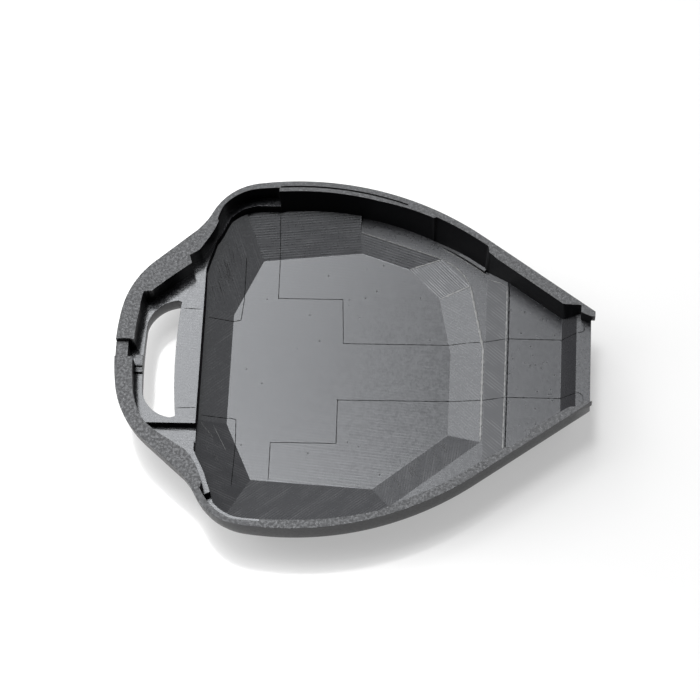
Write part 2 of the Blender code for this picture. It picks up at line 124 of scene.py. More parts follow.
FINISHES: dict[Surface, Finish] = {
    Surface.POCKET_FLOOR: Finish(
        "floor_plastic", roughness=0.19, mottle=0.025, mark_pitch=0.36, mark_height=3.0, speck_share=0.04
    ),
    Surface.SHELF: Finish(
        "shelf_plastic", roughness=0.32, mottle=0.05, mark_pitch=0.30, mark_height=2.0, streak=0.1
    ),
    Surface.NARROW_FLOOR: Finish("narrow_floor_plastic", roughness=0.24, mottle=0.02, speck_share=0.70),
    Surface.WEB: Finish(
        "web_plastic",
        roughness=0.18,
        mottle=0.05,
        mark_pitch=0.35,
        mark_height=2.5,
        fleck_share=0.08,
        gloss=0.58,
    ),
    Surface.RIM: Finish(
        "rim_plastic",
        (0.029, 0.029, 0.030),
        roughness=0.5,
        mottle=0.12,
        grain_size=0.17,
        grain_height=14.0,
        fleck_share=0.75,
    ),
    Surface.FACET: Finish(
        "facet_plastic",
        roughness=0.29,
        mottle=0.02,
        grain_height=0.4,
        mark_pitch=0.30,
        mark_height=7.0,
        streak=0.20,
    ),
    Surface.CORNER_FACET: Finish(
        "corner_facet_plastic", roughness=0.36, mark_pitch=0.26, mark_height=22.0, streak=0.8
    ),
    Surface.SLOPE: Finish(
        "slope_plastic", roughness=0.36, grain_height=0.4, mark_pitch=0.30, mark_height=7.0, streak=0.25
    ),
    Surface.END_SLOPE: Finish("end_slope_plastic", (0.015, 0.015, 0.017), roughness=0.30, mottle=0.04),
    # The walls' colour is set darker than the same plastic elsewhere: painted shade, for recess walls
    # that face away from the light
    Surface.WALL: Finish("wall_plastic", (0.007, 0.007, 0.008), roughness=0.38, gloss=0.45),
    Surface.OUTSIDE: Finish(
        "outside_plastic", (0.009, 0.009, 0.010), roughness=0.40, grain_height=3.0, gloss=0.38
    ),
    Surface.LEDGE: Finish(
        "ledge_plastic", roughness=0.30, mottle=0.05, grain_size=0.20, grain_height=3.0, fleck_share=0.12
    ),
    Surface.BANK: Finish(
        "bank_plastic", (0.018, 0.018, 0.019), roughness=0.45, mark_height=4.0, streak=0.3
    ),
}


class Mixing(Enum):
    """What is mixed: the data type, the places of the two inputs, and that of the output."""

    NUMBERS = ("FLOAT", 2, 3, 0)
    COLOURS = ("RGBA", 6, 7, 2)


class NodeSheet:
    """A small helper that lays out nodes in one node tree."""

    def __init__(self, tree: bpy.types.NodeTree) -> None:
        """Keeps the tree that the nodes go into."""
        self.tree = tree

    def add(self, kind: str, **settings: object) -> bpy.types.Node:
        """Adds a node and sets its own properties.

        Args:
            kind: The name of the node's type.
            settings: Values of the node's properties, by name.

        Returns:
            The new node.
        """
        node = self.tree.nodes.new(kind)
        for name, value in settings.items():
            setattr(node, name, value)
        return node

    def feed(self, node: bpy.types.Node, socket: str | int, value: object) -> None:
        """Gives an input its value.

        Args:
            node: The node.
            socket: The input's name or place.
            value: A number or colour, which is set there, or an output, which is linked to it.
        """
        if isinstance(value, Socket):
            self.tree.links.new(value, node.inputs[socket])
        else:
            node.inputs[socket].default_value = value

    def maths(self, operation: str, first: object, second: object = 0.0) -> Socket:
        """Works out a number from one or two others.

        Args:
            operation: The operation's name, such as MULTIPLY.
            first: A number or an output.
            second: A number or an output.

        Returns:
            The output that holds the result.
        """
        node = self.add("ShaderNodeMath", operation=operation)
        self.feed(node, 0, first)
        self.feed(node, 1, second)
        return node.outputs[0]

    def ramp(self, value: object, span: Span, to: Span = (0.0, 1.0)) -> Socket:
        """Maps a value from one span to another, smoothly and clamped.

        Args:
            value: A number or an output.
            span: The values that become the two of the new span. The first may be the larger.
            to: The two ends of the new span.

        Returns:
            The output that holds the result.
        """
        node = self.add("ShaderNodeMapRange", interpolation_type="SMOOTHSTEP")
        self.feed(node, "Value", value)
        self.feed(node, "From Min", span[0])
        self.feed(node, "From Max", span[1])
        self.feed(node, "To Min", to[0])
        self.feed(node, "To Max", to[1])
        return node.outputs["Result"]

    def noise(self, place: Socket, scale: object, detail: float) -> Socket:
        """Adds a noise.

        Args:
            place: The output that holds the place.
            scale: Its cells to one unit of the place, as a number or an output.
            detail: How many finer layers it has.

        Returns:
            The output that holds its value, from 0 to 1.
        """
        node = self.add("ShaderNodeTexNoise")
        self.feed(node, "Vector", place)
        self.feed(node, "Scale", scale)
        self.feed(node, "Detail", detail)
        return node.outputs["Fac"]

    def bump(self, height: Socket, distance: float, normal: Socket) -> Socket:
        """Lays a relief over a normal.

        Args:
            height: The output that holds the relief.
            distance: How far a height of 1 stands up.
            normal: The output that holds the normal below it.

        Returns:
            The output that holds the new normal.
        """
        node = self.add("ShaderNodeBump")
        self.feed(node, "Distance", distance)
        self.feed(node, "Height", height)
        self.feed(node, "Normal", normal)
        return node.outputs[0]

    def mix(self, mixing: Mixing, share: Socket, first: object, second: object) -> Socket:
        """Mixes two numbers or two colours.

        Args:
            mixing: Which of them it mixes.
            share: The output that holds the share of the second.
            first: A number, a colour or an output.
            second: A number, a colour or an output.

        Returns:
            The output that holds the result.
        """
        data_type, first_place, second_place, result = mixing.value
        node = self.add("ShaderNodeMix", data_type=data_type)
        self.feed(node, "Factor", share)
        self.feed(node, first_place, first)
        self.feed(node, second_place, second)
        return node.outputs[result]


def group_of(
    name: str, inputs: dict[str, float], outputs: tuple[str, ...]
) -> tuple[NodeSheet, bpy.types.Node, bpy.types.Node]:
    """Starts a shader node group whose sockets are all plain values.

    Args:
        name: The group's name.
        inputs: Names of its inputs, with their usual values.
        outputs: Names of its outputs.

    Returns:
        A sheet to lay the group out on, its input node and its output node.
    """
    tree = bpy.data.node_groups.new(name, "ShaderNodeTree")
    for socket, usual in inputs.items():
        made = tree.interface.new_socket(socket, in_out="INPUT", socket_type="NodeSocketFloat")
        made.default_value = usual
    for socket in outputs:
        tree.interface.new_socket(socket, in_out="OUTPUT", socket_type="NodeSocketFloat")
    sheet = NodeSheet(tree)
    return sheet, sheet.add("NodeGroupInput"), sheet.add("NodeGroupOutput")


@dataclass
class MouldTexture:
    """The two shared effects of the plastic: sparked grain, and the lines of milling.

    Dots and clouds have their scales in cells to the metre, and the coarse grain has its
    scale as a share of the fine one's. Strokes have theirs in cells to the pitch across the
    lines and to the millimetre along them, and patches in cells to the millimetre both ways.
    A span is the two values that a ramp runs between, and a strength the two that it gives.
    """

    grain_detail: float = 2.0
    coarse_scale: float = 0.3
    coarse_height: float = 0.8
    dot_scale: float = 1500.0
    dot_span: Span = (0.22, 0.08)
    fleck_span: Span = (0.56, 0.72)
    cloud_scale: float = 3200.0
    cloud_detail: float = 3.0
    cloud_span: Span = (0.35, 0.65)
    speck_roughness: float = 0.35
    mark_detail: float = 3.0
    stroke_scales: Span = (0.55, 0.07)
    stroke_sway: float = 0.8
    stroke_height: float = 0.6
    patch_scales: Span = (0.8, 0.35)
    patch_span: Span = (0.35, 0.65)
    patch_strength: Span = (0.5, 1.0)
    cut_height: float = 0.5
    crest_span: Span = (0.4, 0.95)
    worn_span: Span = (0.3, 0.65)
    worn_strength: Span = (0.2, 1.0)
    edge_samples: int = 4
    grain: bpy.types.NodeTree = field(init=False)
    marks: bpy.types.NodeTree = field(init=False)

    def __post_init__(self) -> None:
        """Builds both node groups."""
        self.grain = self.build_grain()
        self.marks = self.build_marks()

    def build_grain(self) -> bpy.types.NodeTree:
        """Grain: noises of three sizes and scattered dots, in the piece's own space.

        The height is the fine noise, plus the coarse one times its height.

        Returns:
            The group. Height runs from 0 to a little under 2, Specks marks the dark dots,
            Flecks the light ones, and Cloud is the noise that the roughness drifts with.
        """
        sheet, into, out = group_of(
            "mould_grain",
            {"Size": Finish.grain_size, "Speck Share": 0.0, "Fleck Share": 0.0},
            ("Height", "Specks", "Flecks", "Cloud"),
        )
        place = sheet.add("ShaderNodeTexCoord").outputs["Object"]
        scale = sheet.maths("DIVIDE", 1.0 / MM, into.outputs["Size"])
        fine = sheet.noise(place, scale, self.grain_detail)
        coarse = sheet.noise(place, sheet.maths("MULTIPLY", scale, self.coarse_scale), self.grain_detail)
        height = sheet.maths("ADD", fine, sheet.maths("MULTIPLY", coarse, self.coarse_height))
        dots = sheet.add("ShaderNodeTexVoronoi")
        sheet.feed(dots, "Vector", place)
        sheet.feed(dots, "Scale", self.dot_scale)
        chance = sheet.add("ShaderNodeSeparateColor")
        sheet.feed(chance, 0, dots.outputs["Color"])
        near = sheet.ramp(dots.outputs["Distance"], self.dot_span)
        chosen = sheet.maths("LESS_THAN", chance.outputs[0], into.outputs["Speck Share"])
        flecked = sheet.ramp(fine, self.fleck_span)
        cloud = sheet.noise(place, self.cloud_scale, self.cloud_detail)
        sheet.feed(out, "Height", height)
        sheet.feed(out, "Specks", sheet.maths("MULTIPLY", near, chosen))
        sheet.feed(out, "Flecks", sheet.maths("MULTIPLY", flecked, into.outputs["Fleck Share"]))
        sheet.feed(out, "Cloud", cloud)
        return sheet.tree

    def build_marks(self) -> bpy.types.NodeTree:
        """Milling lines across the map's first coordinate, stronger in some patches than in others.

        The cut is a sine of the first coordinate over the pitch, swayed by the strokes and
        weakened by the patches. The relief is the cut and the strokes, each times its height.

        Returns:
            The group. Height runs from 0 to about 1, and Streaks marks the light crests.
        """
        sheet, into, out = group_of("milling_marks", {"Pitch": Finish.mark_pitch}, ("Height", "Streaks"))
        apart = sheet.add("ShaderNodeSeparateXYZ")
        sheet.feed(apart, 0, sheet.add("ShaderNodeUVMap", uv_map=TOOLING_MAP).outputs[0])
        first, second = apart.outputs[0], apart.outputs[1]
        across = sheet.maths("DIVIDE", first, into.outputs["Pitch"])
        strokes = self.stretched_noise(sheet, (across, second), self.stroke_scales)
        patches = self.stretched_noise(sheet, (first, second), self.patch_scales)
        swayed = sheet.maths("ADD", across, sheet.maths("MULTIPLY", strokes, self.stroke_sway))
        sine = sheet.maths("SINE", sheet.maths("MULTIPLY", swayed, 2.0 * math.pi))
        wave = sheet.maths("ADD", sheet.maths("MULTIPLY", sine, 0.5), 0.5)
        strong = sheet.ramp(patches, self.patch_span, self.patch_strength)
        cut = sheet.maths("MULTIPLY", wave, strong)
        cut_relief = sheet.maths("MULTIPLY", cut, self.cut_height)
        stroke_relief = sheet.maths("MULTIPLY", strokes, self.stroke_height)
        crests = sheet.ramp(cut, self.crest_span)
        worn = sheet.ramp(strokes, self.worn_span, self.worn_strength)
        sheet.feed(out, "Height", sheet.maths("ADD", cut_relief, stroke_relief))
        sheet.feed(out, "Streaks", sheet.maths("MULTIPLY", crests, worn))
        return sheet.tree

    def stretched_noise(self, sheet: NodeSheet, place: tuple[Socket, Socket], scales: Span) -> Socket:
        """Noise on a plane, stretched by a scale for each of its two coordinates.

        Args:
            sheet: Where it is laid out.
            place: The outputs that hold the two coordinates.
            scales: The scale of each.

        Returns:
            The output that holds its value, from 0 to 1.
        """
        spot = sheet.add("ShaderNodeCombineXYZ")
        sheet.feed(spot, 0, sheet.maths("MULTIPLY", place[0], scales[0]))
        sheet.feed(spot, 1, sheet.maths("MULTIPLY", place[1], scales[1]))
        return sheet.noise(spot.outputs[0], 1.0, self.mark_detail)


def plastic(finish: Finish, texture: MouldTexture) -> bpy.types.Material:
    """Makes the material of one finish.

    Args:
        finish: Its values.
        texture: The shared node groups.

    Returns:
        The material: grain and milling lines as relief on softened edges, with a roughness
        that drifts in clouds, dark specks and light flecks.
    """
    material = bpy.data.materials.new(finish.name)
    material.use_nodes = True
    sheet = NodeSheet(material.node_tree)
    shader = material.node_tree.nodes["Principled BSDF"]
    grain = sheet.add("ShaderNodeGroup", node_tree=texture.grain)
    sheet.feed(grain, "Size", finish.grain_size)
    sheet.feed(grain, "Speck Share", finish.speck_share)
    sheet.feed(grain, "Fleck Share", finish.fleck_share)
    soft = sheet.add("ShaderNodeBevel", samples=texture.edge_samples)
    sheet.feed(soft, "Radius", finish.edge_radius * MM)
    normal = sheet.bump(grain.outputs["Height"], finish.grain_height * MICRON, soft.outputs[0])
    light = grain.outputs["Flecks"]
    if finish.mark_height:
        marks = sheet.add("ShaderNodeGroup", node_tree=texture.marks)
        sheet.feed(marks, "Pitch", finish.mark_pitch)
        normal = sheet.bump(marks.outputs["Height"], finish.mark_height * MICRON, normal)
        streaks = sheet.maths("MULTIPLY", marks.outputs["Streaks"], finish.streak)
        light = sheet.maths("MAXIMUM", light, streaks)
    specks = grain.outputs["Specks"]
    lighter = sheet.mix(Mixing.COLOURS, light, (*finish.colour, 1.0), WORN_TINT)
    sheet.feed(shader, "Base Color", sheet.mix(Mixing.COLOURS, specks, lighter, SPECK_TINT))
    drift = (finish.roughness - finish.mottle, finish.roughness + finish.mottle)
    clouded = sheet.ramp(grain.outputs["Cloud"], texture.cloud_span, drift)
    speckled = sheet.maths("MULTIPLY", specks, texture.speck_roughness)
    sheet.feed(shader, "Roughness", sheet.maths("ADD", clouded, speckled))
    sheet.feed(shader, "Normal", normal)
    shader.inputs["Specular IOR Level"].default_value = finish.gloss
    shader.inputs["Specular Tint"].default_value = REFLECTION_TINT
    return material


def unit(vectors: np.ndarray, least: float) -> np.ndarray:
    """Divides each row by its length, or by the least one if that is larger."""
    return vectors / np.maximum(np.linalg.norm(vectors, axis=1, keepdims=True), least)


def headings(normals: np.ndarray) -> np.ndarray:
    """Returns the way that each face climbs, in degrees from +X towards +Y."""
    return np.degrees(np.arctan2(-normals[:, 1], -normals[:, 0]))


def mesh_arrays(mesh: bpy.types.Mesh) -> tuple[np.ndarray, np.ndarray, np.ndarray]:
    """Reads a mesh of triangles as arrays.

    A triangle's direction is the cross product of two of its sides, made one unit long.

    Args:
        mesh: The mesh.

    Returns:
        Its corner places, the corners of each triangle, and each triangle's direction.
    """
    spots = np.empty(len(mesh.vertices) * 3, np.float32)
    mesh.vertices.foreach_get("co", spots)
    spots = spots.reshape(-1, 3).astype(float)
    corners = np.empty(len(mesh.polygons) * 3, np.int32)
    mesh.polygons.foreach_get("vertices", corners)
    corners = corners.reshape(-1, 3)
    sides = spots[corners]
    normals = np.cross(sides[:, 1] - sides[:, 0], sides[:, 2] - sides[:, 0])
    return spots, corners, unit(normals, LEAST_AREA)


@dataclass
class Cover:
    """The moulding itself: a merged copy of the frame's node, finished surface by surface.

    The first eight lengths are the heights of the flat surfaces, and each flat face goes to
    the nearest of them. The slope, the end slope and the bank start at their lengths along X.
    A face is flat or sloping when its direction rises by more than that value. A sloping face
    is straight when its direction turns aside by less than that value, and can be of the bank
    when it turns by more than the other. Headings and their spread are in degrees, and turns
    of the milling lines in radians.
    """

    source: bpy.types.Object
    pocket_floor: float = 0.0020
    shelf: float = 0.0027
    narrow_floor: float = 0.00365
    groove: float = 0.0040
    web: float = 0.00514
    end_ledge: float = 0.0057
    notch: float = 0.00732
    rim: float = 0.00782
    slope_start: float = 0.01545
    end_slope_start: float = 0.0245
    bank_start: float = 0.0
    flat_rise: float = 0.9995
    sloping_rise: float = 0.3
    straight_turn: float = 0.01
    bank_turn: float = 0.05
    corner_heading: float = 44.7
    corner_spread: float = 4.0
    level_headings: Span = (40.0, 100.0)
    ring_end_heading: float = 170.0
    mark_turn: float = math.radians(45.0)
    floor_turn: float = math.radians(84.0)
    smooth_angle: float = math.radians(20.0)
    weld: float = 0.0000005
    ground: Ground | None = field(default=None, init=False)

    def levels(self) -> tuple[tuple[float, Surface], ...]:
        """Returns the heights of the flat surfaces, each with its kind."""
        return (
            (self.pocket_floor, Surface.POCKET_FLOOR),
            (self.shelf, Surface.SHELF),
            (self.narrow_floor, Surface.NARROW_FLOOR),
            (self.groove, Surface.WEB),
            (self.web, Surface.WEB),
            (self.end_ledge, Surface.LEDGE),
            (self.notch, Surface.RIM),
            (self.rim, Surface.RIM),
        )

    def surfaces(self, middles: np.ndarray, normals: np.ndarray) -> np.ndarray:
        """Says which kind of surface each face belongs to.

        Args:
            middles: The middle of each face.
            normals: Its direction.

        Returns:
            The value of its Surface: flat faces by height, sloping ones by place and by
            the way they face, upright ones by whether they face the middle.
        """
        kinds = np.full(len(middles), Surface.OUTSIDE.value)
        heights = np.array([height for height, _ in self.levels()])
        values = np.array([kind.value for _, kind in self.levels()])
        nearest = values[np.abs(middles[:, 2:3] - heights).argmin(axis=1)]
        flat = normals[:, 2] > self.flat_rise
        kinds[flat] = nearest[flat]
        sloping = (normals[:, 2] > self.sloping_rise) & ~flat
        kinds[sloping] = Surface.FACET.value
        corner = sloping & (np.abs(headings(normals) - self.corner_heading) < self.corner_spread)
        kinds[corner] = Surface.CORNER_FACET.value
        turned = np.abs(normals[:, 1])
        raised = (middles[:, 2] > self.shelf) & (middles[:, 0] > self.bank_start)
        kinds[sloping & (turned > self.bank_turn) & raised] = Surface.BANK.value
        straight = sloping & (turned < self.straight_turn) & (normals[:, 0] < 0)
        kinds[straight & (middles[:, 0] > self.slope_start)] = Surface.SLOPE.value
        kinds[straight & (middles[:, 0] > self.end_slope_start)] = Surface.END_SLOPE.value
        inward = (middles[:, 0] * normals[:, 0] + middles[:, 1] * normals[:, 1]) < 0
        upright = np.abs(normals[:, 2]) <= self.sloping_rise
        kinds[upright & inward & (middles[:, 2] > self.pocket_floor)] = Surface.WALL.value
        return kinds

    def build(self, texture: MouldTexture) -> bpy.types.Object:
        """Makes the cover.

        Args:
            texture: The shared node groups.

        Returns:
            The finished object, in place of the frame's node.
        """
        mesh = self.source.data.copy()
        mesh.name = "cover_shell"
        cover = bpy.data.objects.new("cover_shell", mesh)
        bpy.context.scene.collection.objects.link(cover)
        merge_corners(mesh, self.weld)
        mesh.materials.clear()
        for surface in Surface:
            mesh.materials.append(plastic(FINISHES[surface], texture))
        spots, corners, normals = mesh_arrays(mesh)
        self.ground = Ground(spots, corners, normals)
        kinds = self.surfaces(spots[corners].mean(axis=1), normals)
        mesh.polygons.foreach_set("material_index", kinds.astype(np.int32))
        self.map_tooling(mesh, spots[corners], normals)
        self.shade(mesh, kinds)
        mesh.update()
        return cover

    def shade(self, mesh: bpy.types.Mesh, kinds: np.ndarray) -> None:
        """Shades walls and the outside smooth along their curves, and every cut face flat.

        Args:
            mesh: The cover's mesh.
            kinds: The value of each face's Surface.
        """
        curved = np.isin(kinds, [Surface.WALL.value, Surface.OUTSIDE.value])
        mesh.set_sharp_from_angle(angle=self.smooth_angle)
        mesh.polygons.foreach_set("use_smooth", curved)

    def map_tooling(self, mesh: bpy.types.Mesh, sides: np.ndarray, normals: np.ndarray) -> None:
        """Gives each face the map that its milling lines follow.

        The first coordinate runs across the lines and the second along them, both in
        millimetres: the place along the way the face falls, turned by mark_turn. On the
        far and corner facets it isn't turned, so that the lines lie level, and on the facet
        at the ring end it is turned the other way. On flat faces it lies along floor_turn.

        Args:
            mesh: The cover's mesh.
            sides: The places of each face's three corners.
            normals: The direction of each face.
        """
        heading = headings(normals)
        level = (heading > self.level_headings[0]) & (heading < self.level_headings[1])
        ring_end = np.abs(heading) > self.ring_end_heading
        offset = np.where(level, 0.0, np.where(ring_end, -self.mark_turn, self.mark_turn))
        turn = np.arctan2(normals[:, 1], normals[:, 0]) + offset
        turn = np.where(normals[:, 2] > self.flat_rise, self.floor_turn, turn)
        across = np.stack([np.cos(turn), np.sin(turn)], axis=1)
        along = np.stack([-np.sin(turn), np.cos(turn)], axis=1)
        plan = sides[:, :, :2] / MM
        first = (plan * across[:, None, :]).sum(axis=2)
        second = (plan * along[:, None, :]).sum(axis=2)
        layer = mesh.uv_layers.new(name=TOOLING_MAP)
        layer.data.foreach_set("uv", np.stack([first, second], axis=2).astype(np.float32).ravel())


def merge_corners(mesh: bpy.types.Mesh, distance: float) -> None:
    """Merges the corners that lie very near each other.

    Args:
        mesh: The mesh.
        distance: How near.
    """
    shape = bmesh.new()
    shape.from_mesh(mesh)
    bmesh.ops.remove_doubles(shape, verts=shape.verts, dist=distance)
    shape.to_mesh(mesh)
    shape.free()


class Ground:
    """The upper side of the cover, read by place, so that small pieces can lie on it."""

    least_rise: float = 0.1
    slack: float = 1e-6
    nowhere: float = -1.0

    def __init__(self, spots: np.ndarray, corners: np.ndarray, normals: np.ndarray) -> None:
        """Keeps the triangles that face upwards.

        Args:
            spots: Corner places of the mesh.
            corners: The corners of each triangle.
            normals: The direction of each triangle.
        """
        upward = normals[:, 2] > self.least_rise
        sides = spots[corners[upward]]
        self.start = sides[:, 0]
        self.first = sides[:, 1] - sides[:, 0]
        self.second = sides[:, 2] - sides[:, 0]
        self.normals = normals[upward]

    def under(self, places: np.ndarray) -> tuple[np.ndarray, np.ndarray]:
        """Finds the surface below each place, seen from above.

        A place is the triangle's start plus a share of each of its two sides. It lies inside
        where neither share is below 0 and both together are at most 1, and its height is
        the start's plus the same shares of the sides' rises.

        Args:
            places: Rows of x and y.

        Returns:
            The points on the highest triangle there, and that triangle's directions.
        """
        away = places[:, None, :] - self.start[None, :, :2]
        area = self.first[:, 0] * self.second[:, 1] - self.first[:, 1] * self.second[:, 0]
        along = (away[..., 0] * self.second[:, 1] - away[..., 1] * self.second[:, 0]) / area
        across = (away[..., 1] * self.first[:, 0] - away[..., 0] * self.first[:, 1]) / area
        heights = self.start[:, 2] + along * self.first[:, 2] + across * self.second[:, 2]
        inside = (along >= -self.slack) & (across >= -self.slack) & (along + across <= 1.0 + self.slack)
        best = np.where(inside, heights, self.nowhere).argmax(axis=1)
        rows = np.arange(len(places))
        return np.column_stack([places, heights[rows, best]]), self.normals[best]


@dataclass(frozen=True)
class Line:
    """A fine line on the cover's upper side: its corners and its width, in millimetres.

    The width swells and shrinks along the line by the given share.
    """

    corners: tuple[Span, ...]
    width: float = 0.085
    swell: float = 0.3


@dataclass
class LineWork:
    """A set of fine raised lines that lie on the cover, all in one finish.

    Each line is cut into steps of the spacing. Its width swells as the product of two sines
    with these rates to the millimetre, the second one shifted, and narrows to the end share
    over the last steps at either end.
    """

    name: str
    finish: Finish
    lines: tuple[Line, ...]
    height: float = 0.000006
    spacing: float = 0.00012
    least_places: int = 3
    sides: int = 6
    swell_rates: Span = (2.3, 7.1)
    swell_shift: float = 1.0
    end_steps: float = 3.0
    end_share: float = 0.3

    def trace(self, line: Line) -> tuple[np.ndarray, np.ndarray]:
        """Spreads even places along a line.

        Args:
            line: The line.

        Returns:
            Its places as rows of x and y, and how far along each lies.
        """
        corners = np.array(line.corners) * MM
        steps = np.linalg.norm(np.diff(corners, axis=0), axis=1)
        reached = np.concatenate([[0.0], np.cumsum(steps)])
        count = max(int(reached[-1] / self.spacing), self.least_places)
        far = np.linspace(0.0, reached[-1], count)
        return np.column_stack([np.interp(far, reached, corners[:, axis]) for axis in (0, 1)]), far

    def half_widths(self, line: Line, far: np.ndarray) -> np.ndarray:
        """Works out half the line's width at each place along it.

        Args:
            line: The line.
            far: How far along it each place lies.

        Returns:
            Half the width there.
        """
        slow, fast = (far / MM * rate for rate in self.swell_rates)
        swell = 1.0 + line.swell * np.sin(slow) * np.sin(fast + self.swell_shift)
        to_end = np.minimum(far, far[-1] - far)
        ends = np.clip(to_end / (self.end_steps * self.spacing), self.end_share, 1.0)
        return line.width * MM / 2.0 * swell * ends

    def bead(self, line: Line, ground: Ground, first: int) -> tuple[np.ndarray, np.ndarray, np.ndarray]:
        """Makes the closed bead of one line.

        Each ring is a flat ellipse in the plane square to the line, half of it under the
        surface: its places are the line's place, plus the sideways direction times half the
        width times the cosine, plus the surface's direction times the height times the
        sine. A last point closes each end.

        Args:
            line: The line.
            ground: The surface that it lies on.
            first: The number of corners made before it.

        Returns:
            Its places, its four-sided faces and its three-sided ones.
        """
        places, far = self.trace(line)
        points, facing = ground.under(places)
        forward = unit(np.gradient(points, axis=0), LEAST_LENGTH)
        sideways = unit(np.cross(facing, forward), LEAST_LENGTH)
        turn = np.linspace(0.0, 2.0 * math.pi, self.sides, endpoint=False)
        half = self.half_widths(line, far)[:, None, None]
        rings = (
            points[:, None, :]
            + sideways[:, None, :] * np.cos(turn)[None, :, None] * half
            + facing[:, None, :] * np.sin(turn)[None, :, None] * self.height
        )
        count, sides = len(points), self.sides
        here = np.arange(sides)
        following = (here + 1) % sides
        ring = first + np.arange(count - 1)[:, None] * sides
        beyond = ring + sides
        quads = np.stack([ring + here, beyond + here, beyond + following, ring + following], axis=-1)
        last = first + (count - 1) * sides
        start, stop = last + sides, last + sides + 1
        near_cap = np.column_stack([np.full(sides, start), first + here, first + following])
        far_cap = np.column_stack([np.full(sides, stop), last + following, last + here])
        corners = np.concatenate([rings.reshape(-1, 3), points[:1], points[-1:]])
        return corners, quads.reshape(-1, 4), np.concatenate([near_cap, far_cap])

    def build(self, ground: Ground, texture: MouldTexture) -> bpy.types.Object:
        """Makes the object of all the lines.

        Args:
            ground: The surface that they lie on.
            texture: The shared node groups.

        Returns:
            The new object.
        """
        places, faces, total = [], [], 0
        for line in self.lines:
            corners, quads, caps = self.bead(line, ground, total)
            places.append(corners)
            faces += quads.tolist() + caps.tolist()
            total += len(corners)
        mesh = bpy.data.meshes.new(self.name)
        mesh.from_pydata(np.concatenate(places).tolist(), [], faces)
        mesh.materials.append(plastic(self.finish, texture))
        mesh.uv_layers.new(name=TOOLING_MAP)
        made = bpy.data.objects.new(self.name, mesh)
        bpy.context.scene.collection.objects.link(made)
        return made


# Seams that the mould's inserts leave across floors, ledges and slopes
WITNESS_LINES = (
    Line(
        ((-10.15, 20.1), (-10.0, 14.4), (-9.94, 9.5), (-2.07, 9.47))
        + ((-1.75, 3.61), (11.07, 3.61), (13.2, 3.78))
    ),
    Line(
        ((13.2, 3.78), (15.1, 3.8), (18.0, 3.85), (24.5, 3.8))
        + ((26.32, 3.85), (27.17, 4.06), (27.18, 5.2))
    ),
    Line(((27.26, -5.0), (27.11, -4.25), (26.76, -3.93), (26.27, -3.89), (24.5, -3.8), (17.36, -3.78))),
    Line(
        ((17.36, -3.78), (15.0, -3.8), (10.96, -3.76), (-2.1, -3.8))
        + ((-2.01, -9.43), (-9.86, -9.44), (-9.85, -14.3))
    ),
    Line(((-21.05, 6.53), (-18.75, 6.42))),
    Line(((-18.3, 6.4), (-15.2, 6.3), (-14.35, 6.49), (-14.09, 9.21), (-14.05, 14.8))),
    Line(((-21.06, -6.54), (-18.6, -6.45))),
    Line(((-18.3, -6.5), (-14.7, -6.45), (-14.15, -6.62), (-14.03, -9.61), (-14.09, -15.5))),
    Line(((-28.4, 1.16), (-26.5, 1.16)), width=0.16),
    Line(((-26.2, -1.26), (-25.45, -1.26))),
    Line(((18.12, 11.0), (18.15, 4.0), (18.14, -4.0), (18.10, -11.3)), width=0.14),
    Line(((-9.98, 9.56), (-9.90, 9.44)), width=0.34, swell=0.0),
    Line(((-2.2, -3.72), (-1.95, -3.86)), width=0.26, swell=0.0),
    Line(((10.9, -3.72), (11.3, -3.80)), width=0.22, swell=0.0),
)

# Small lines side by side on the ledge at the ring end
RUNG_SPAN: Span = (-26.2, -25.45)
RUNG_PLACES = (-1.45, -1.64, -1.83, -2.2, -2.4)
LADDER = tuple(Line(tuple((x, y) for x in RUNG_SPAN), width=0.08, swell=0.1) for y in RUNG_PLACES)

# Pale lines along edges and ridges of facets, shelf and slope: painted highlights where these crests
# catch the light
PAINTED_RIDGE_HIGHLIGHTS = (
    Line(((9.86, 14.77), (11.5, 13.75), (12.6, 12.6), (13.36, 11.23)), width=0.16, swell=0.5),
    Line(((13.36, 11.23), (15.14, 2.85), (15.14, -9.1)), width=0.28, swell=0.5),
    Line(((-0.1, 18.25), (9.8, 14.8)), width=0.12, swell=0.6),
    Line(((5.95, 13.65), (9.75, 14.7)), width=0.20, swell=0.5),
    Line(((9.8, 9.75), (13.3, 11.2)), width=0.24, swell=0.5),
    Line(((9.83, 16.18), (12.38, 14.67), (14.49, 13.32), (15.3, 12.62)), width=0.10, swell=0.5),
    Line(((15.6, 12.1), (16.3, 11.7), (17.1, 11.35), (17.6, 10.9)), width=0.12, swell=0.5),
    Line(((17.86, 10.9), (17.88, 4.0), (17.86, -4.0), (17.82, -11.3)), width=0.16, swell=0.6),
    Line(((-18.22, -7.45), (-16.66, -9.23)), width=0.05),
    Line(((-16.77, -7.55), (-15.0, -10.87)), width=0.05),
)


